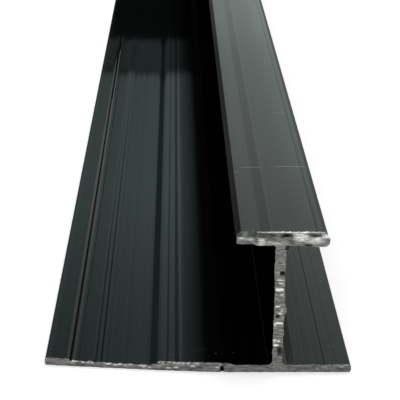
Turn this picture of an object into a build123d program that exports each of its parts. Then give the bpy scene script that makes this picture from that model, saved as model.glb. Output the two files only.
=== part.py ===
from build123d import *
import os

# Aluminium bar stock of an offset I section, lying on its wide base.
# X runs across the base, Y along the bar and Z up. The origin is under the middle of the base.

# Bar
bar_length = 1000
overall_height = 30

# Base flange, thin and wide
base_width = 60
base_thickness = 1.6
base_edge_radius = 0.4

# Shallow bed in the upper face of the base, from a lip along the wide edge to a long ramp
lip_width = 4.8
bed_width = 15.7
bed_depth = 0.3
ramp_width = 2.3

# Drill lines: one in the bed at the foot of the lip, and a finer one along the narrow side
lip_line_width = 0.5
lip_line_depth = 0.3
narrow_line_inset = 5.3
narrow_line_width = 0.5
narrow_line_depth = 0.05

# Web, set towards one edge of the base, with rounded roots
web_thickness = 2
narrow_side_width = 13.5
foot_fillet = 0.8
neck_fillet = 0.5

# Head flange, narrow and thick, with both upper edges bevelled
head_width = 17.4
head_thickness = 2.8
head_bevel = 1
head_edge_radius = 0.3

# Hand-sawn front end, square under the head and falling back towards the wide edge
skew_width = 35
skew_setback = 2.9

# Extra length of a cutting tool past the metal
cut_overrun = 1

# Largest part of a wall's thickness that the radius on its edge may take
edge_radius_share = 0.4

# Places across the section
wide_edge = -base_width / 2
narrow_edge = base_width / 2
web_right = narrow_edge - narrow_side_width
web_left = web_right - web_thickness
web_middle = (web_left + web_right) / 2
head_left = web_middle - head_width / 2
head_right = web_middle + head_width / 2
bed_start = wide_edge + lip_width
bed_end = bed_start + bed_width
ramp_end = bed_end + ramp_width
lip_line = bed_start + lip_line_width / 2
narrow_line = narrow_edge - narrow_line_inset

# Levels above the floor
bed_floor = base_thickness - bed_depth
head_underside = overall_height - head_thickness

# Edge radii, limited by the walls that carry them
base_radius = min(base_edge_radius, base_thickness * edge_radius_share)
head_radius = min(head_edge_radius, (head_thickness - head_bevel) * edge_radius_share)


def corners_at(section, *places):
    """The corners of the section that lie at the given places."""
    return [section.vertices().sort_by_distance(place)[0] for place in places]


def bed_outline():
    """The shallow bed, as the metal that is missing from the base."""
    return make_face(
        Polyline(
            (bed_start, base_thickness),
            (bed_start, bed_floor),
            (bed_end, bed_floor),
            (ramp_end, base_thickness),
            close=True,
        )
    )


def drill_line(middle, level, width, depth):
    """A V groove that guides a drill's point, as the metal that is missing below a level."""
    return make_face(
        Polyline(
            (middle - width / 2, level),
            (middle, level - depth),
            (middle + width / 2, level),
            close=True,
        )
    )


def bar_section():
    """The section across the bar, X to the right and Z up the page."""
    upright = (Align.CENTER, Align.MIN)
    base = Rectangle(base_width, base_thickness, align=upright)
    web = Pos(web_middle, 0) * Rectangle(web_thickness, overall_height, align=upright)
    head = Pos(web_middle, head_underside) * Rectangle(head_width, head_thickness, align=upright)
    section = base + web + head - bed_outline()
    section -= drill_line(lip_line, bed_floor, lip_line_width, lip_line_depth)
    section -= drill_line(narrow_line, base_thickness, narrow_line_width, narrow_line_depth)

    base_corners = [(x, z) for x in (wide_edge, narrow_edge) for z in (0, base_thickness)]
    foot_corners = [(x, base_thickness) for x in (web_left, web_right)]
    neck_corners = [(x, head_underside) for x in (web_left, web_right)]
    head_lower_corners = [(x, head_underside) for x in (head_left, head_right)]
    head_upper_corners = [(x, overall_height) for x in (head_left, head_right)]

    section = fillet(corners_at(section, *base_corners), base_radius)
    section = fillet(corners_at(section, *foot_corners), foot_fillet)
    section = fillet(corners_at(section, *neck_corners), neck_fillet)
    section = fillet(corners_at(section, *head_lower_corners), head_radius)
    return chamfer(corners_at(section, *head_upper_corners), head_bevel)


def skewed_kerf():
    """The wedge that the wandering saw took off the front of the base, on its wide side."""
    front = -bar_length / 2
    skew_start = wide_edge + skew_width
    wedge = make_face(
        Polyline(
            (skew_start, front),
            (wide_edge, front + skew_setback),
            (wide_edge - cut_overrun, front + skew_setback),
            (wide_edge - cut_overrun, front - cut_overrun),
            (skew_start, front - cut_overrun),
            close=True,
        )
    )
    return extrude(wedge, overall_height)


bar = extrude(Plane.XZ * bar_section(), bar_length / 2, both=True)
profile = bar - skewed_kerf()

os.makedirs("parts", exist_ok=True)
export_step(profile, "parts/profile.step")
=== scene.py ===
import math

import bmesh
import bpy
from mathutils import Matrix, Vector, noise


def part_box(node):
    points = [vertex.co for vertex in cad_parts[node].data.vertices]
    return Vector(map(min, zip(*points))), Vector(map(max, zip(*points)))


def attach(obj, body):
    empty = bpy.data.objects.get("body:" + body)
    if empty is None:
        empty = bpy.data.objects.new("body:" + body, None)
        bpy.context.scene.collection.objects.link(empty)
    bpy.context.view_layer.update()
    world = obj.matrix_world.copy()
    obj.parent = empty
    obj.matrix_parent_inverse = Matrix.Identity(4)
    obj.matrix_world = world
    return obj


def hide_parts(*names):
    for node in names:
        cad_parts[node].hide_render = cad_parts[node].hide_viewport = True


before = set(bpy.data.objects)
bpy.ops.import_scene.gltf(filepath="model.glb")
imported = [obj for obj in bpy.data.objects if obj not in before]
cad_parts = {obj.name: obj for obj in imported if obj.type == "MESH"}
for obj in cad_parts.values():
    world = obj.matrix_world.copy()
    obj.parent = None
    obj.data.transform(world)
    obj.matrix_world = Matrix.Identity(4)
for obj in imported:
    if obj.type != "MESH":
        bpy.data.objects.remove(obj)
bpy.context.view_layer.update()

# The bar: one length of aluminium pushed through a die, so every line on it runs from end to end.
# It was anodised black and then cut to length by hand with a hacksaw, which left bare, scored and
# burred ends, and a front cut that slants back along the wide side of the base.
bar_low, bar_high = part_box("profile")
wide_edge, front_end = bar_low.x, bar_low.y
narrow_edge, back_end = bar_high.x, bar_high.y
overall_height = bar_high.z

mm = 0.001
micron = 0.000001

base_thickness = 1.6 * mm
base_radius = 0.4 * mm
lip_width = 4.88 * mm
bed_width = 15.4 * mm
bed_depth = 0.3 * mm
ramp_width = 2.3 * mm
lip_facet_width = 0.8 * mm
lip_facet_height = 0.16 * mm
bed_facet_width = 0.6 * mm
bed_facet_height = 0.12 * mm
ramp_easing = 0.35 * mm
ramp_trim = 0.1 * mm
lip_line_width = 0.55 * mm
lip_line_depth = 0.3 * mm
narrow_line_inset = 5.3 * mm
narrow_line_width = 0.32 * mm
narrow_line_depth = 0.03 * mm
narrow_line_lean = 0.08 * mm
web_thickness = 2 * mm
narrow_side_width = 13.5 * mm
foot_radius = 0.8 * mm
neck_radius = 0.5 * mm
head_width = 17.4 * mm
head_thickness = 2.8 * mm
head_bevel = 1 * mm
head_radius = 0.3 * mm
skew_width = 35 * mm
skew_setback = 2.9 * mm

web_right = narrow_edge - narrow_side_width
web_left = web_right - web_thickness
web_middle = (web_left + web_right) / 2
head_left = web_middle - head_width / 2
head_right = web_middle + head_width / 2
head_underside = overall_height - head_thickness
bed_start = wide_edge + lip_width
bed_end = bed_start + bed_width
ramp_end = bed_end + ramp_width
bed_floor = base_thickness - bed_depth
narrow_line = narrow_edge - narrow_line_inset
skew_start = wide_edge + skew_width

grain_pitch = 0.15 * mm
touch = 0.02 * mm
corner_steps = 3

outline = [
    (wide_edge, 0),
    (narrow_edge, 0),
    (narrow_edge, base_thickness),
    (narrow_line + narrow_line_width / 2, base_thickness),
    (narrow_line + narrow_line_lean, base_thickness - narrow_line_depth),
    (narrow_line - narrow_line_width / 2, base_thickness),
    (web_right, base_thickness),
    (web_right, head_underside),
    (head_right, head_underside),
    (head_right, overall_height),
    (head_left, overall_height),
    (head_left, head_underside),
    (web_left, head_underside),
    (web_left, base_thickness),
    (ramp_end - ramp_trim, base_thickness),
    (bed_end + ramp_trim, bed_floor),
    (bed_start + lip_line_width + bed_facet_width, bed_floor),
    (bed_start + lip_line_width, bed_floor + bed_facet_height),
    (bed_start + lip_line_width / 2, bed_floor - lip_line_depth),
    (bed_start, bed_floor),
    (bed_start, base_thickness - lip_facet_height),
    (bed_start - lip_facet_width, base_thickness),
    (wide_edge, base_thickness),
]

# Lines that the die drew along the bar, each a short outline of places in millimetres and heights in
# microns. The base is measured from its wide edge, the web from the floor, the head from its left side.
base_die_lines = (
    ((6.4, 0), (6.5, -8), (6.6, -8), (6.75, 5), (7, 0)),
    ((5.8, 0), (9.35, 66), (9.85, 42), (10.3, 0), (10.88, -28), (11.35, -72), (11.8, -92), (19.9, 0)),
    ((11.9, 0), (12.1, -6), (12.45, 12), (12.95, 0)),
    ((15.1, 0), (15.65, -14), (16.1, 0), (18.1, 0), (18.5, -8), (18.9, 0)),
    ((23.85, 0), (24.45, -11), (25.35, 0), (25.6, 0), (26.35, -10), (27, 0)),
    ((50.9, 0), (51.1, -10), (51.3, 0)),
    ((52.8, 0), (53, -10), (53.2, 0)),
    ((56.6, 0), (56.85, -13), (57.1, 0)),
)
web_die_lines = (
    ((3.6, 0), (4.2, -12), (4.8, 0)), ((8.6, 0), (9.5, -8), (10.4, 0)), ((10.9, 0), (11.3, -9), (11.7, 0)),
    ((17, 0), (17.8, -10), (18.6, 0)), ((22.1, 0), (22.6, -12), (23.1, 0)),
)
head_die_lines = (((6.6, 0), (7, -14), (9, 0)), ((14.7, 0), (15.1, -14), (15.5, 0)))
drawn_band = (4.65 * mm, 6.6 * mm)
drag_height = 0.7 * micron
drag_pitch = 0.35 * mm


def ease_corners(mesh, places, radius, steps):
    """Rounds the section's corners at the given places, or bevels them with one step."""
    corners = [v for v in mesh.verts for place in places if (v.co.xz - Vector(place)).length < touch]
    bmesh.ops.bevel(
        mesh, geom=corners, offset=radius, offset_type="OFFSET", affect="VERTICES",
        segments=steps, profile=0.5, material=-1,
    )


def slice_mesh(mesh, direction, places):
    """Cuts lines into every face where it crosses the planes at these places along a direction."""
    for place in places:
        bmesh.ops.bisect_plane(
            mesh, geom=mesh.verts[:] + mesh.edges[:] + mesh.faces[:], dist=touch,
            plane_co=Vector(direction) * place, plane_no=direction,
        )


def even_places(start, end, pitch):
    """Places from start to end, about a pitch apart, without the two ends."""
    count = round((end - start) / pitch)
    return [start + (end - start) * step / count for step in range(1, count)]


def die_relief(lines, place):
    """Height that the die's lines and its fine drag give the surface at a place."""
    height = drag_height * noise.noise(Vector((place / drag_pitch, len(lines), 0)))
    for line in lines:
        for (start, low), (end, high) in zip(line, line[1:]):
            if start <= place / mm < end:
                height += (low + (high - low) * (place / mm - start) / (end - start)) * micron
    return height


bar = bmesh.new()
bar.faces.new([bar.verts.new((x, front_end, z)) for x, z in outline])
base_corners = [(x, z) for x in (wide_edge, narrow_edge) for z in (0, base_thickness)]
ease_corners(bar, base_corners, base_radius, corner_steps)
ramp_corners = [(bed_end + ramp_trim, bed_floor), (ramp_end - ramp_trim, base_thickness)]
ease_corners(bar, ramp_corners, ramp_easing, corner_steps)
ease_corners(bar, [(x, base_thickness) for x in (web_left, web_right)], foot_radius, corner_steps)
ease_corners(bar, [(x, head_underside) for x in (web_left, web_right)], neck_radius, corner_steps)
ease_corners(bar, [(x, head_underside) for x in (head_left, head_right)], head_radius, corner_steps)
ease_corners(bar, [(x, overall_height) for x in (head_left, head_right)], head_bevel, 1)
slice_mesh(bar, (0, 0, 1), [base_thickness, head_underside])
slice_mesh(bar, (0, 0, 1), even_places(0, overall_height, grain_pitch))
slice_mesh(bar, (1, 0, 0), [wide_edge + place * mm for line in base_die_lines for place, _ in line])
slice_mesh(bar, (1, 0, 0), [head_left + place for place in drawn_band])
slice_mesh(bar, (1, 0, 0), even_places(wide_edge, narrow_edge, grain_pitch))

for vert in bar.verts:
    x, _, z = vert.co
    beside_web = x < web_left - foot_radius or x > web_right + foot_radius
    if z < base_thickness + touch and beside_web:
        vert.co.z += die_relief(base_die_lines, x - wide_edge) * min(1, z / bed_floor)
    elif z > head_underside - touch:
        up = (z - head_underside) / head_thickness
        vert.co.z += up * min(0, die_relief(head_die_lines, x - head_left))
    else:
        vert.co.x += die_relief(web_die_lines, z) * (x - web_middle) / (web_thickness / 2)

front_loops = tuple(
    mm * depth for depth in (0.12, 0.25, 0.4, 0.6, 0.8, 1, 1.3, 1.6, 1.9, 2.2, 2.5, 4, 8, 30)
)
film_stretch = (222 * mm, 231 * mm, 246 * mm, 251 * mm)
back_loops = tuple(mm * depth for depth in (0.2, 0.5, 2))
middle_loop_pitch = 0.2

drawn = bmesh.ops.extrude_face_region(bar, geom=bar.faces[:])["geom"]
drawn_verts = [part for part in drawn if isinstance(part, bmesh.types.BMVert)]
bmesh.ops.translate(bar, verts=drawn_verts, vec=(0, back_end - front_end, 0))
slice_mesh(bar, (0, 1, 0), [front_end + loop for loop in front_loops + film_stretch])
slice_mesh(bar, (0, 1, 0), [back_end - loop for loop in back_loops])
slice_mesh(bar, (0, 1, 0), even_places(front_end, back_end, middle_loop_pitch))
bmesh.ops.recalc_face_normals(bar, faces=bar.faces[:])

# The sawn ends: the saw scored the faces, tore bits off the edges and left burrs that a file then
# broke, so bare metal also shows on the edges round the front cut.
head_bit_end = 10.9 * mm
head_bit_setback = 0.3 * mm
head_bit_blend = 0.7 * mm
head_bit_arris = 28.8 * mm
head_bit_fall = 0.08
head_bit_lean = 0.35
head_bit_lift = 0.2 * mm
head_bit_tuck = 0.55 * mm
tuck_width = 2 * mm
neck_tear = 0.55 * mm
web_drag_middle = 23 * mm
web_drag_half = 6 * mm
web_drag = 0.18 * mm
bulge_middle = 22.7 * mm
bulge_half = 2 * mm
bulge_drop = 0.3 * mm
bulge_round = 0.9 * mm
bulge_centre = 0.45
head_swell = 0.352 * mm
skin_drag = 0.42 * mm
skin_start = bed_start + 1 * mm
skin_full = bed_start + 3 * mm
skin_blend = 0.1 * mm
glint_drop = 0.15 * mm
glint_half = 0.2 * mm
curl_middle = 13.7 * mm
curl_half = 1.4 * mm
curl_reach = 0.45 * mm
filed_edge = 0.16 * mm
filed_pad = 0.72 * mm
filed_slope = 0.3
pad_end = skew_start + 0.6 * mm
pad_fade = 2 * mm
glint_fade = 1 * mm
burr_height = 0.16 * mm
burr_reach = 0.8 * mm
bite_reach = 2.5 * mm
skew_reach = 30 * mm
skew_bow = 1.25
score_depth = 0.09 * mm
score_pitch = 0.42 * mm
score_length = 2.5 * mm
tear_pitch = 0.5 * mm
tear_depth = 0.16 * mm

# Bits torn out of the front face, dark smears on it, partly painted shade in the bites, in the gap at the
# head's torn corner and under the head, and painted highlights on it: the middle and half the size across
# and up the face, in millimetres, with the depth of the bit or the strength of the mark.
front_bites = (
    (4.8, 0.6, 0.35, 1, 0.7),
    (16.5, 29.3, 1.1, 0.35, 0.35),
    (16, 21.4, 0.6, 0.5, 0.4),
    (15.3, 12.3, 0.4, 0.4, 0.3),
    (15.9, 4.7, 0.7, 1.1, 0.4),
    (-21, 1.5, 0.5, 0.6, 0.35),
    (-14.5, 1.4, 0.6, 0.5, 0.3),
    (22.6, 1.2, 0.8, 0.5, 0.2),
)
front_smears_and_shade = (
    (4.8, 0.6, 0.4, 1, 1.2),
    (16.75, 26.75, 0.6, 0.6, 2),
    (10.6, 28.6, 0.5, 1.2, 0.35),
    (16.3, 29.3, 1.3, 0.4, 1),
    (15.6, 29.1, 1.9, 0.5, 0.3),
    (12.5, 29.25, 2.2, 0.8, 0.5),
    (11.6, 29.4, 1.3, 0.6, 0.4),
    (14.2, 29.35, 1.6, 0.35, 0.4),
    (13.8, 28.4, 1.2, 0.3, 0.4),
    (16.8, 28, 1.2, 0.5, 0.5),
    (21.6, 29.35, 1.3, 0.35, 1.1),
    (20.5, 27.35, 0.9, 0.3, 1.4),
    (16, 21.4, 0.55, 0.4, 2),
    (15.3, 12.3, 0.35, 0.35, 2),
    (15.9, 4.7, 0.7, 1.1, 1.1),
    (-21, 0.5, 4, 0.4, 0.3),
    (-7, 0.9, 0.5, 0.5, 0.5),
    (20.5, 0.8, 1.6, 0.3, 0.6),
    (-0.9, 0.8, 1.9, 0.7, 0.4),
    (28.4, 0.8, 1.7, 0.8, 0.4),
)
front_glints = (
    (15.6, 20, 0.75, 0.2, 0.9),
    (15.8, 19.3, 0.6, 0.2, 0.9),
    (15.5, 18, 0.85, 0.33, 3),
    (15.9, 16.9, 0.4, 0.2, 0.7),
    (15.2, 14.4, 0.6, 0.22, 0.9),
    (16, 13.5, 0.35, 0.2, 0.7),
    (15.7, 12.9, 0.5, 0.22, 1),
    (15.5, 10.75, 0.85, 0.25, 3),
    (14.8, 10.3, 0.35, 0.2, 0.7),
    (14.85, 7.05, 0.4, 0.2, 1.8),
    (15.6, 6.9, 0.3, 0.2, 1.4),
    (14.85, 6.55, 0.35, 0.15, 0.7),
    (15.1, 5.95, 0.65, 0.22, 1.4),
    (19, 29.1, 1.6, 1.2, 0.75),
    (11.7, 28, 0.8, 1, 0.6),
    (14.3, 27.7, 2.8, 0.5, 0.3),
    (23.7, 29.2, 0.8, 0.4, 1.4),
    (22.3, 28.75, 0.6, 0.35, 0.6),
    (21.6, 28.4, 1.7, 0.6, 0.3),
    (21.4, 28.5, 2.4, 0.9, 0.3),
    (8.4, 29.2, 0.9, 0.7, 0.4),
    (7.7, 28.5, 0.9, 0.3, 0.6),
    (9.4, 28.3, 1.2, 0.4, 0.5),
    (-24.2, 1.2, 1, 0.35, 0.6),
    (-20.9, 1.1, 0.8, 0.2, 0.5),
    (-17.5, 1, 0.7, 0.25, 0.8),
    (-15.2, 0.9, 0.5, 0.2, 0.7),
    (-13, 1, 0.6, 0.25, 0.6),
    (-10.6, 0.75, 0.7, 0.25, 1),
    (-9.4, 0.5, 0.4, 0.2, 0.7),
    (-7.4, 1.1, 0.6, 0.2, 0.8),
    (-5.6, 0.7, 0.6, 0.25, 0.9),
    (-4.2, 0.85, 0.6, 0.25, 1),
    (-0.9, 1.35, 0.6, 0.2, 0.8),
    (3.9, 1.3, 0.4, 0.2, 0.8),
    (28.2, 1.2, 0.5, 0.2, 0.6),
)


def spots_at(spots, x, z):
    """Total of the spots at a place on the front face, each full in its middle and nothing at its edge."""
    total = 0
    for middle_x, middle_z, half_x, half_z, amount in spots:
        across = (x / mm - middle_x) / half_x
        up = (z / mm - middle_z) / half_z
        if abs(across) < 1 and abs(up) < 1:
            total += amount * (1 - across * across) * (1 - up * up)
    return total


def ragged(place, pitch, lane):
    """An uneven value from 0 to 1 that changes about once in a pitch."""
    return 0.5 + 0.5 * noise.noise(Vector((place / pitch, lane, 0.5)))


def rise_between(start, end, place):
    """0 before start, 1 after end and a smooth rise between them."""
    share = min(max((place - start) / (end - start), 0), 1)
    return share * share * (3 - 2 * share)


def fade(depth, reach):
    """1 at the cut, falling smoothly to 0 at a reach behind it."""
    return max(0, 1 - depth / reach) ** 2


def hump(place, middle, half):
    """1 in the middle of a stretch, falling to 0 at both its ends."""
    return max(0, 1 - ((place - middle) / half) ** 2)


def over_bed(x):
    """1 over the bed and 0 beside it, where the saw dragged the dark skin down over the front edge."""
    return rise_between(skin_start, skin_full, x) - rise_between(bed_end, ramp_end, x)


def bit_arris(x):
    """Height above which the face of the head's torn corner leans back."""
    return head_bit_arris - head_bit_fall * (x - head_left)


def filed_length(x, z):
    """How far behind the front cut the edge is bare, along the top of the base, the web or the head."""
    if z < 2 * base_thickness:
        on_pad = rise_between(ramp_end - tear_pitch, ramp_end, x)
        on_pad -= rise_between(pad_end, pad_end + pad_fade, x)
        strip = filed_pad * on_pad * (0.7 + 0.6 * ragged(x, tear_pitch, 2))
        return strip + filed_edge * 2 * ragged(x, tear_pitch, 1) ** 2 * (1 - over_bed(x))
    if z < head_underside:
        return filed_edge * 3 * ragged(z, tear_pitch, 3)
    return filed_edge * (0.6 + 0.8 * ragged(x, 2 * tear_pitch, 4))


def saw_score(x, z):
    """Depth of the saw's strokes at a place on a cut face: across the web, and slanting on the base."""
    lean = 0.6 if z < base_thickness else 0.12
    return score_depth * ragged(z + lean * x, score_pitch, x / score_length)


def shape_front(vert):
    """Moves a point near the front end to where the saw and the file left it."""
    x, y, z = vert.co
    depth = y - front_end
    near_cut = fade(depth, burr_reach)
    on_base = z < base_thickness + touch
    on_head = z > head_underside - touch
    push = spots_at(front_bites, x, z) * mm + tear_depth * ragged(x + z, tear_pitch, 5) ** 2
    if depth < touch:
        push += saw_score(x, z)
    if on_head:
        up = (z - head_underside) / head_thickness
        vert.co.z -= bulge_drop * hump(x, bulge_middle, bulge_half) * near_cut * (1 - up)
        from_right = max(0, bulge_round - (head_right - x)) / bulge_round
        vert.co.z += bulge_round * (bulge_centre - up) * from_right ** 2 * near_cut
    if on_head and x < head_bit_end:
        torn = 1 - rise_between(head_bit_end - head_bit_blend, head_bit_end, x)
        push += torn * (head_bit_setback + head_bit_lean * max(0, z - bit_arris(x)))
        vert.co.z += torn * head_bit_lift * near_cut * (1 - up)
        tucked = 1 - rise_between(head_left, head_left + tuck_width, x)
        vert.co.x += head_bit_tuck * tucked * near_cut
    elif on_base or on_head:
        foot, wall = (0, base_thickness) if on_base else (head_underside, head_thickness)
        filed = filed_length(x, z)
        vert.co.z -= filed_slope * max(0, filed - depth) * (z - foot) / wall
    if not on_base and not on_head:
        side = (x - web_middle) / (web_thickness / 2)
        vert.co.x -= web_drag * hump(z, web_drag_middle, web_drag_half) * near_cut
        vert.co.x += side * burr_height * (2 * ragged(z, 2 * tear_pitch, 6 + side) - 1) * near_cut
        if side > 0.9:
            vert.co.x += curl_reach * hump(z, curl_middle, curl_half) * near_cut
            vert.co.x += neck_tear * hump(z, head_underside - neck_radius, neck_radius) * near_cut
    if on_head and x > head_right - head_bevel:
        swollen = hump(z, overall_height - 0.5 * head_thickness, head_thickness)
        vert.co.x += head_swell * swollen * near_cut
    vert.co.y += push * fade(depth, bite_reach)
    skew = skew_setback * (max(0, skew_start - x) / skew_width) ** skew_bow
    vert.co.y += skew * max(0, 1 - depth / skew_reach)


def shape_back(vert):
    """Moves a point near the back end, a square cut with lighter scores."""
    x, y, z = vert.co
    depth = back_end - y
    if depth < touch:
        vert.co.y -= saw_score(x, z) / 2


anodised_finish, sawn_finish, shaded_channel_finish, band_finish = 0, 1, 2, 3
film_layer = bar.verts.layers.float.new("film_and_painted_light")
smear_and_shade_layer = bar.verts.layers.float.new("smear_and_shade")
glint_layer = bar.verts.layers.float.new("glint")


def edge_glint(x, z):
    """How bright the filed edge is: bare metal with a painted highlight, one long line on the head and a
    few glints on the base.
    """
    if z > head_underside:
        return 0.65 * rise_between(head_bit_end, head_bit_end + glint_fade, x)
    return 0.1 * rise_between(0.55, 0.7, ragged(x, tear_pitch, 7))


def skin_edge(x):
    """Height of the torn edge of the dark skin that the saw dragged down over the front of the bed."""
    return bed_floor - skin_drag * over_bed(x) * (0.15 + 1.3 * ragged(x, 2 * tear_pitch, 8) ** 2)


def torn_edge_glints(x, z):
    """Painted highlights here and there along the torn edge of the dark skin."""
    strength = 0.7 * over_bed(x) * rise_between(0.5, 0.7, ragged(x, 1.6 * tear_pitch, 9))
    return strength * hump(z, skin_edge(x) - glint_drop, glint_half)


def dragged_skin(x, z):
    """How much of the dark skin the saw dragged down over the front edge of the bed."""
    if z > base_thickness + touch or over_bed(x) == 0:
        return 0
    edge = skin_edge(x)
    return rise_between(edge, edge + skin_blend, z)


# A lighter film on the finish: beside the lip line, the web and the wide edge, and on top of the head but
# not on the line there. Beside the web under the head and on top of the head it is painted light, where
# light falls;
# beside the lip line and the wide edge it only makes the finish lighter.
film_by_line = (0.9 * mm, 1.1 * mm)
light_by_web = (2.3 * mm, 2.9 * mm)
film_by_edge = (0.8 * mm, 1.8 * mm)
line_without_film = (14.9 * mm, 15.2 * mm, 15.4 * mm, 15.7 * mm)


def line_film(x, y):
    """How much lighter film lies beside the lip line: a little all along it, and more on one stretch."""
    from_line = abs(x - bed_start - lip_line_width / 2)
    behind = y - front_end
    beside = rise_between(0, lip_line_width / 2, from_line) - rise_between(*film_by_line, from_line)
    thick = rise_between(*film_stretch[:2], behind) - rise_between(*film_stretch[2:], behind)
    return beside * (0.05 + 0.28 * thick)


def film_and_painted_light(x, y, z):
    """How much lighter film goes on the finish: most under the head and some on its top, both painted
    light, but not on the drawn line.
    """
    if z < base_thickness + touch:
        if x > web_right:
            # Painted light: lighter beside the web under the head, where light reaches.
            return 1 - rise_between(*light_by_web, x - web_right)
        # Lighter towards the wide edge and beside the lip line.
        return 0.15 * (1 - rise_between(*film_by_edge, x - wide_edge)) + line_film(x, y)
    from_left = x - head_left
    if z < overall_height - 2 * touch or not head_bevel < from_left < head_width - head_bevel:
        return 0
    in_line = rise_between(*line_without_film[:2], from_left) - rise_between(*line_without_film[2:], from_left)
    # Painted light: the head's top made lighter, where light falls on it.
    return 0.26 * (1 - in_line)


for face in bar.faces:
    middle = face.calc_center_median()
    cut = abs(face.normal.y) > 0.5
    filed = middle.y - front_end < filed_length(middle.x, middle.z)
    on_wide_side = middle.x < web_middle
    # Painted shade: the wide side's channel under the head, the web's side and the head's side get a
    # darker black that reflects nothing.
    in_shaded_channel = on_wide_side and base_thickness + touch < middle.z < overall_height - head_bevel - touch
    on_top = middle.z > overall_height - head_bevel
    in_band = on_top and drawn_band[0] < middle.x - head_left < drawn_band[1]
    skin = shaded_channel_finish if in_shaded_channel else band_finish if in_band else anodised_finish
    face.material_index = sawn_finish if cut or filed else skin
    # Painted highlight on the bare filed edges.
    if filed and face.normal.z > 0.5:
        for vert in face.verts:
            vert[glint_layer] = edge_glint(vert.co.x, vert.co.z)

for vert in bar.verts:
    vert[film_layer] = film_and_painted_light(*vert.co)
    if vert.co.y - front_end < touch:
        # Dark smears, partly painted shade in the bites, in the gap at the torn corner and under the head,
        # and the dragged skin.
        smear_and_shade = spots_at(front_smears_and_shade, vert.co.x, vert.co.z) + dragged_skin(vert.co.x, vert.co.z)
        vert[smear_and_shade_layer] = min(1, smear_and_shade)
        # Painted highlights on the cut face and along the torn skin.
        glint = vert[glint_layer] + torn_edge_glints(vert.co.x, vert.co.z)
        vert[glint_layer] = min(1, glint + spots_at(front_glints, vert.co.x, vert.co.z))
for vert in bar.verts:
    if vert.co.y < front_end + skew_reach:
        shape_front(vert)
    elif vert.co.y > back_end - bite_reach:
        shape_back(vert)

bar_mesh = bpy.data.meshes.new("profile_bar")
bar.to_mesh(bar_mesh)
bar.free()
bar_mesh.shade_smooth()
bar_mesh.set_sharp_from_angle(angle=math.radians(30))
profile_bar = bpy.data.objects.new("profile_bar", bar_mesh)
bpy.context.scene.collection.objects.link(profile_bar)
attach(profile_bar, "root")
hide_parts("profile")


def add_node(tree, kind, inputs=None, **settings):
    """Adds a node, sets it up and fills its inputs with values or with other nodes' sockets."""
    made = tree.nodes.new(kind)
    for name, value in settings.items():
        setattr(made, name, value)
    for key, value in (inputs or {}).items():
        if isinstance(value, bpy.types.NodeSocket):
            tree.links.new(value, made.inputs[key])
        else:
            made.inputs[key].default_value = value
    return made


def start_material(name):
    """A new material with only a Principled shader."""
    material = bpy.data.materials.new(name)
    material.use_nodes = True
    return material, material.node_tree, material.node_tree.nodes["Principled BSDF"]


def combine(tree, operation, first, second):
    """Two values, or other nodes' sockets, put together by one operation."""
    return add_node(tree, "ShaderNodeMath", {0: first, 1: second}, operation=operation).outputs["Value"]


def stretched_noise(tree, scale, detail):
    """Noise on the bar's own coordinates, with its own scale along each axis."""
    place = add_node(tree, "ShaderNodeTexCoord").outputs["Object"]
    stretched = add_node(tree, "ShaderNodeMapping", {"Vector": place, "Scale": scale}).outputs["Vector"]
    return add_node(
        tree, "ShaderNodeTexNoise", {"Vector": stretched, "Scale": 1, "Detail": detail},
    ).outputs["Fac"]


def spread(tree, value, low, high, new_low, new_high):
    """A value taken from one range to another, and held there outside it."""
    return add_node(
        tree, "ShaderNodeMapRange",
        {"Value": value, "From Min": low, "From Max": high, "To Min": new_low, "To Max": new_high},
    ).outputs["Result"]


# Scratches and specks on the upper faces: the middle across and behind the front end, the height of the
# face, the length, the width and the turn, in millimetres and degrees, and how much metal shows.
scratches = (
    (11.5, 33.6, 30, 5, 0.35, 1, 0.6),
    (20, 34.1, 30, 9, 0.35, 0.6, 0.65),
    (20.2, 70, 30, 3.6, 0.35, 2, 0.4),
    (8.3, 31, 30, 1.6, 0.35, 30, 0.5),
    (-4.4, 4.3, 1.6, 4.2, 0.2, 6, 0.12),
    (-0.2, 5.7, 1.6, 5, 0.2, 28, 0.1),
    (3.7, 4.5, 1.6, 0.4, 0.4, 0, 0.4),
    (7.15, 4.9, 1.6, 0.3, 0.3, 0, 0.3),
    (28.1, 36.6, 1.6, 0.9, 0.4, 0, 0.4),
    (27.4, 7.3, 1.6, 0.6, 0.3, 30, 0.3),
    (19.1, 5, 1.6, 0.6, 0.3, 10, 0.25),
)


def scratch_marks(tree):
    """How much bare metal shows in the scratches, each a thin box that fades at its edges."""
    place = add_node(tree, "ShaderNodeTexCoord").outputs["Object"]
    shown = 0
    for x, behind, z, length, width, turn, strength in scratches:
        middle = (x * mm, front_end + behind * mm, z * mm)
        turned = (0, 0, math.radians(turn))
        half_size = (length / 2 * mm, width / 2 * mm, mm / 2)
        boxed = add_node(
            tree, "ShaderNodeMapping",
            {"Vector": place, "Location": middle, "Rotation": turned, "Scale": half_size},
            vector_type="TEXTURE",
        ).outputs["Vector"]
        sides = add_node(tree, "ShaderNodeVectorMath", {0: boxed}, operation="ABSOLUTE").outputs["Vector"]
        axes = add_node(tree, "ShaderNodeSeparateXYZ", {"Vector": sides})
        widest = combine(tree, "MAXIMUM", axes.outputs["X"], axes.outputs["Y"])
        widest = combine(tree, "MAXIMUM", widest, axes.outputs["Z"])
        shown = combine(tree, "MAXIMUM", shown, spread(tree, widest, 0.5, 1, strength, 0))
    return shown


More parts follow.
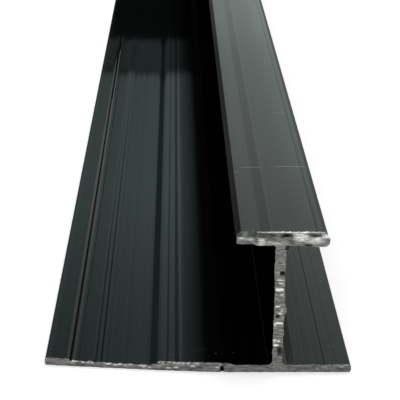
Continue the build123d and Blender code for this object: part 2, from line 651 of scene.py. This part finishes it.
def black_anodised(name, sheen):
    """Black dye in a clear oxide skin: glossy along the bar, softer across it, with fine drawn streaks,
    scratches and a lighter film that is partly painted light.
    """
    material, tree, shader = start_material(name)
    shader.inputs["Specular IOR Level"].default_value = sheen
    streaks = stretched_noise(tree, (2600, 3, 2600), 3)
    patches = stretched_noise(tree, (60, 18, 60), 2)
    colour = add_node(
        tree, "ShaderNodeMix", {"Factor": spread(tree, streaks, 0.4, 0.75, 0, 1)}, data_type="RGBA",
    )
    colour.inputs["A"].default_value = (0.0003, 0.0004, 0.0004, 1)
    colour.inputs["B"].default_value = (0.0018, 0.0022, 0.0022, 1)
    # The lighter film: painted light on the head's top and under the head beside the web.
    film = add_node(tree, "ShaderNodeAttribute", attribute_name="film_and_painted_light").outputs["Fac"]
    filmed_and_lit = add_node(tree, "ShaderNodeMix", {"Factor": film}, data_type="RGBA")
    tree.links.new(colour.outputs["Result"], filmed_and_lit.inputs["A"])
    filmed_and_lit.inputs["B"].default_value = (0.048, 0.049, 0.046, 1)
    scratched = add_node(tree, "ShaderNodeMix", {"Factor": scratch_marks(tree)}, data_type="RGBA")
    tree.links.new(filmed_and_lit.outputs["Result"], scratched.inputs["A"])
    scratched.inputs["B"].default_value = (0.22, 0.222, 0.215, 1)
    tree.links.new(scratched.outputs["Result"], shader.inputs["Base Color"])
    tree.links.new(spread(tree, patches, 0.3, 0.7, 0.022, 0.03), shader.inputs["Roughness"])
    shader.inputs["Anisotropic"].default_value = 0.9
    shader.inputs["Anisotropic Rotation"].default_value = 0.25
    along_bar = add_node(tree, "ShaderNodeCombineXYZ", {"Y": 1})
    tree.links.new(along_bar.outputs["Vector"], shader.inputs["Tangent"])
    fine_lines = stretched_noise(tree, (7000, 5, 7000), 2)
    bump = add_node(tree, "ShaderNodeBump", {"Strength": 0.01, "Distance": 0.00005, "Height": fine_lines})
    tree.links.new(bump.outputs["Normal"], shader.inputs["Normal"])
    return material


def shaded_channel_black():
    """Painted shade in the wide side's channel under the head: the same black made darker and dull,
    reflecting nothing.
    """
    material, tree, shader = start_material("shaded_channel_black")
    streaks = stretched_noise(tree, (1200, 3, 1200), 2)
    colour = add_node(
        tree, "ShaderNodeMix", {"Factor": spread(tree, streaks, 0.35, 0.7, 0, 1)}, data_type="RGBA",
    )
    colour.inputs["A"].default_value = (0.0002, 0.0002, 0.0002, 1)
    colour.inputs["B"].default_value = (0.0008, 0.0008, 0.0008, 1)
    tree.links.new(colour.outputs["Result"], shader.inputs["Base Color"])
    tree.links.new(spread(tree, streaks, 0.3, 0.7, 0.4, 0.55), shader.inputs["Roughness"])
    shader.inputs["Specular IOR Level"].default_value = 0
    return material


def sawn_aluminium():
    """Bare metal as the saw left it: dull, with painted highlights along the strokes and dark smears that
    are partly painted shade.
    """
    material, tree, shader = start_material("sawn_aluminium")
    strokes = stretched_noise(tree, (700, 700, 3200), 3)
    colour = add_node(
        tree, "ShaderNodeMix", {"Factor": spread(tree, strokes, 0.35, 0.72, 0, 1)}, data_type="RGBA",
    )
    colour.inputs["A"].default_value = (0.092, 0.093, 0.088, 1)
    colour.inputs["B"].default_value = (0.26, 0.262, 0.25, 1)
    # Painted highlights: glints on the filed edges and flecks on the cut faces.
    glint = add_node(tree, "ShaderNodeAttribute", attribute_name="glint").outputs["Fac"]
    glint_strokes = spread(tree, strokes, 0.3, 0.62, 0.45, 1)
    fleck_glint = combine(tree, "MULTIPLY", glint, glint_strokes)
    bright = add_node(tree, "ShaderNodeMix", {"Factor": fleck_glint}, data_type="RGBA")
    tree.links.new(colour.outputs["Result"], bright.inputs["A"])
    bright.inputs["B"].default_value = (0.9, 0.905, 0.88, 1)
    # Dark smears, partly painted shade in the bites, the gap at the torn corner and under the head.
    smear_and_shade = add_node(tree, "ShaderNodeAttribute", attribute_name="smear_and_shade").outputs["Fac"]
    smeared_and_shaded = add_node(tree, "ShaderNodeMix", {"Factor": smear_and_shade}, data_type="RGBA")
    tree.links.new(bright.outputs["Result"], smeared_and_shaded.inputs["A"])
    smeared_and_shaded.inputs["B"].default_value = (0.02, 0.02, 0.019, 1)
    tree.links.new(smeared_and_shaded.outputs["Result"], shader.inputs["Base Color"])
    tree.links.new(spread(tree, strokes, 0.3, 0.7, 0.5, 0.3), shader.inputs["Roughness"])
    shader.inputs["Metallic"].default_value = 1
    return material


bar_mesh.materials.append(black_anodised("black_anodised", 0.5))
bar_mesh.materials.append(sawn_aluminium())
bar_mesh.materials.append(shaded_channel_black())
bar_mesh.materials.append(black_anodised("drawn_band", 0.27))

# The floor: a plain white paper sweep, much wider than the bar is long. It looks white by itself and in
# reflections, and the bar's soft shadow falls on it.
floor_radius = 30
floor_bmesh = bmesh.new()
bmesh.ops.create_circle(floor_bmesh, cap_ends=True, segments=96, radius=floor_radius)
floor_mesh = bpy.data.meshes.new("floor")
floor_bmesh.to_mesh(floor_mesh)
floor_bmesh.free()
floor = bpy.data.objects.new("floor", floor_mesh)
bpy.context.scene.collection.objects.link(floor)
floor_material, floor_tree, floor_shader = start_material("white_floor")
floor_shader.inputs["Base Color"].default_value = (0.95, 0.95, 0.95, 1)
floor_shader.inputs["Roughness"].default_value = 1
floor_shader.inputs["Specular IOR Level"].default_value = 0
floor_shader.inputs["Emission Color"].default_value = (1, 1, 1, 1)
light_path = add_node(floor_tree, "ShaderNodeLightPath").outputs
seen = light_path["Is Camera Ray"]
for kind in ("Is Glossy Ray", "Is Transmission Ray"):
    seen = combine(floor_tree, "MAXIMUM", seen, light_path[kind])
floor_tree.links.new(spread(floor_tree, seen, 0, 1, 0, 0.25), floor_shader.inputs["Emission Strength"])
floor_mesh.materials.append(floor_material)

# The light: an even pale dome and one broad lamp. Grey screens stand round the bar for its
# reflections: a ring on all sides, and behind the far end boards with dark gaps between them.
world = bpy.data.worlds.new("pale_dome")
bpy.context.scene.world = world
world.use_nodes = True
world.node_tree.nodes["Background"].inputs["Color"].default_value = (1, 1, 1, 1)
world.node_tree.nodes["Background"].inputs["Strength"].default_value = 0.92

sun = bpy.data.lights.new("broad_lamp", "SUN")
sun.energy = 0.6
sun.angle = math.radians(30)
sun_object = bpy.data.objects.new("broad_lamp", sun)
sun_object.rotation_euler = (math.radians(-35), math.radians(15), 0)
bpy.context.scene.collection.objects.link(sun_object)


def add_screen(name, shape, tint, glow=1):
    """Makes a glowing screen of a shape that only reflections see."""
    screen_mesh = bpy.data.meshes.new(name)
    shape.to_mesh(screen_mesh)
    shape.free()
    screen = bpy.data.objects.new(name, screen_mesh)
    bpy.context.scene.collection.objects.link(screen)
    screen.visible_camera = False
    screen.visible_diffuse = False
    screen.visible_shadow = False
    material, tree, shader = start_material(name)
    shader.inputs["Base Color"].default_value = (0, 0, 0, 1)
    shader.inputs["Specular IOR Level"].default_value = 0
    shader.inputs["Emission Color"].default_value = (*tint, 1)
    shader.inputs["Emission Strength"].default_value = glow
    screen_mesh.materials.append(material)
    return tree, shader


def rectangle(left, low, right, high):
    """The corners of a rectangle, from its lower left one round."""
    return [(left, low), (right, low), (right, high), (left, high)]


def add_board(name, corners, place, tint, glow=1):
    """An upright screen behind the bar, with its corners given across and up."""
    shape = bmesh.new()
    shape.faces.new([shape.verts.new((x, place, z)) for x, z in corners])
    return add_screen(name, shape, tint, glow)


eye_offset = 0.00475
neutral_tint = (1, 1, 1)
cool_tint = (0.76, 1, 0.995)
pale_tint = (0.87, 1, 0.965)
board_place = back_end + 0.06
backing_place = back_end + 0.07

ring = bmesh.new()
bmesh.ops.create_cone(ring, cap_ends=False, segments=96, radius1=1.6, radius2=1.6, depth=1)
bmesh.ops.translate(ring, verts=ring.verts, vec=(0, 0, 0.5))
add_screen("grey_ring", ring, pale_tint, 0.3)

mat = bmesh.new()
mat_start, mat_end, mat_height = 0.035, 1.5, 0.0005
mat_corners = rectangle(mat_start, front_end, mat_end, board_place)
mat.faces.new([mat.verts.new((x, y, mat_height)) for x, y in mat_corners])
add_screen("grey_mat", mat, pale_tint, 0.2)

board_top, backing_top = 0.8, 0.9
side_reach, dark_reach = 0.9, 0.2
backing_split = -0.07
low_top = 0.15
dim_left_top, dim_right_top = (-0.0855, 0.252), (0.0177, 0.255)
right_foot = 0.23
add_board(
    "dark_board", rectangle(backing_split, 0, dark_reach, backing_top),
    backing_place, neutral_tint, 0.004,
)
side_board = add_board(
    "side_board", rectangle(-side_reach, low_top, backing_split, backing_top),
    backing_place, cool_tint,
)
low_board = add_board(
    "low_board", rectangle(-side_reach, 0, backing_split, low_top),
    backing_place, neutral_tint,
)
dim_board = add_board(
    "dim_board", [(-0.06, low_top), (0.0115, low_top), dim_right_top, dim_left_top],
    board_place, cool_tint,
)
left_board = add_board(
    "left_board", [dim_left_top, dim_right_top, (0.0495, board_top), (-0.2296, board_top)],
    board_place, cool_tint,
)
right_board = add_board(
    "right_board",
    [(0.0288, right_foot), (side_reach, right_foot), (side_reach, board_top), (0.0904, board_top)],
    board_place, pale_tint,
)


def follow_stops(tree, value, stops):
    """A value taken through a curve of stops, each a place and the level there."""
    start, end = stops[0][0], stops[-1][0]
    made = add_node(tree, "ShaderNodeFloatCurve", {"Value": spread(tree, value, start, end, 0, 1)})
    points = [((place - start) / (end - start), level) for place, level in stops]
    curve = made.mapping.curves[0]
    curve.points[0].location = points[0]
    curve.points[-1].location = points[-1]
    for point in points[1:-1]:
        curve.points.new(*point)
    made.mapping.update()
    return made.outputs["Value"]


def grade_board(board, across_stops, up_stops, fan_drop=None):
    """Grades a board's glow upwards, and across by place or along lines that meet below the floor."""
    tree, shader = board
    place = add_node(tree, "ShaderNodeTexCoord").outputs["Object"]
    axes = add_node(tree, "ShaderNodeSeparateXYZ", {"Vector": place})
    side = combine(tree, "ADD", axes.outputs["X"], eye_offset)
    if fan_drop:
        side = combine(tree, "DIVIDE", side, combine(tree, "ADD", axes.outputs["Z"], fan_drop))
    across = follow_stops(tree, side, across_stops)
    up = follow_stops(tree, axes.outputs["Z"], up_stops)
    tree.links.new(combine(tree, "MULTIPLY", across, up), shader.inputs["Emission Strength"])


# How the boards' glow changes along the fans of lines that the base and the head reflect, and upwards.
base_fan, head_fan = 0.1199, 0.0615
level_up = ((0, 1), (1, 1))
level_across = ((-1, 1), (1, 1))
left_across = (
    (-0.25, 0.28), (-0.1, 0.35), (-0.03, 0.4), (-0.015, 0.43), (-0.003, 0.42), (0.008, 0.36),
    (0.0146, 0.3), (0.023, 0.19), (0.0313, 0.165), (0.0396, 0.11), (0.048, 0.06), (0.052, 0.035),
    (0.0555, 0.008), (0.058, 0),
)
left_up = (
    (0.25, 0.17), (0.2535, 0.19), (0.2595, 0.4), (0.2655, 0.66), (0.3, 0.77), (0.35, 0.89),
    (0.41, 1), (0.46, 0.97), (0.52, 0.91), (0.6, 0.86), (0.8, 0.8),
)
grade_board(left_board, left_across, left_up, base_fan)
dim_across = ((-0.25, 0.068), (-0.03, 0.068), (0, 0.055), (0.03, 0.02), (0.06, 0))
dim_up = ((0.15, 0.13), (0.21, 0.13), (0.2155, 0.15), (0.221, 0.55), (0.227, 1), (0.26, 1))
grade_board(dim_board, dim_across, dim_up, base_fan)
right_across = (
    (0.1, 0.25), (0.125, 0.33), (0.134, 0.47), (0.14, 0.56), (0.16, 0.6), (0.2, 0.6),
    (0.24, 0.62), (0.29, 0.73), (0.35, 0.74), (0.45, 0.62), (1, 0.5),
)
right_up = ((0.2, 1), (0.25, 1), (0.3, 0.87), (0.4, 0.87), (0.5, 0.77), (0.6, 0.71), (0.8, 0.7))
grade_board(right_board, right_across, right_up, head_fan)
side_up = (
    (0.15, 0.01), (0.208, 0.01), (0.222, 0.026), (0.25, 0.032), (0.264, 0.055), (0.3, 0.07),
    (0.41, 0.095), (0.52, 0.11), (0.6, 0.12), (0.9, 0.12),
)
grade_board(side_board, level_across, side_up)
low_across = (
    (-0.9, 0.075), (-0.45, 0.075), (-0.42, 0.082), (-0.36, 0.088), (-0.31, 0.071), (-0.25, 0.063),
    (-0.225, 0.088), (-0.1, 0.088),
)
grade_board(low_board, low_across, level_up)

# The camera: low, close and a little to the left of the bar's middle, looking along it. Its place, turn
# and lens were fitted to the bar's straight edges in the photograph.
camera_data = bpy.data.cameras.new("camera")
camera_data.sensor_width = 36
camera_data.lens = 108.45
camera_data.clip_start = 0.01
camera = bpy.data.objects.new("camera", camera_data)
eye_back, eye_height = 0.20416, 0.12151
camera_place = Vector((-eye_offset, front_end - eye_back, eye_height))
camera_turn = math.radians(1.361)
camera_pitch = math.radians(22.611)
camera_roll = math.radians(0.657)
camera.matrix_world = (
    Matrix.Translation(camera_place)
    @ Matrix.Rotation(-camera_turn, 4, "Z")
    @ Matrix.Rotation(math.pi / 2 - camera_pitch, 4, "X")
    @ Matrix.Rotation(camera_roll, 4, "Z")
)
bpy.context.scene.collection.objects.link(camera)
bpy.context.scene.camera = camera
bpy.context.scene.view_settings.view_transform = "Standard"
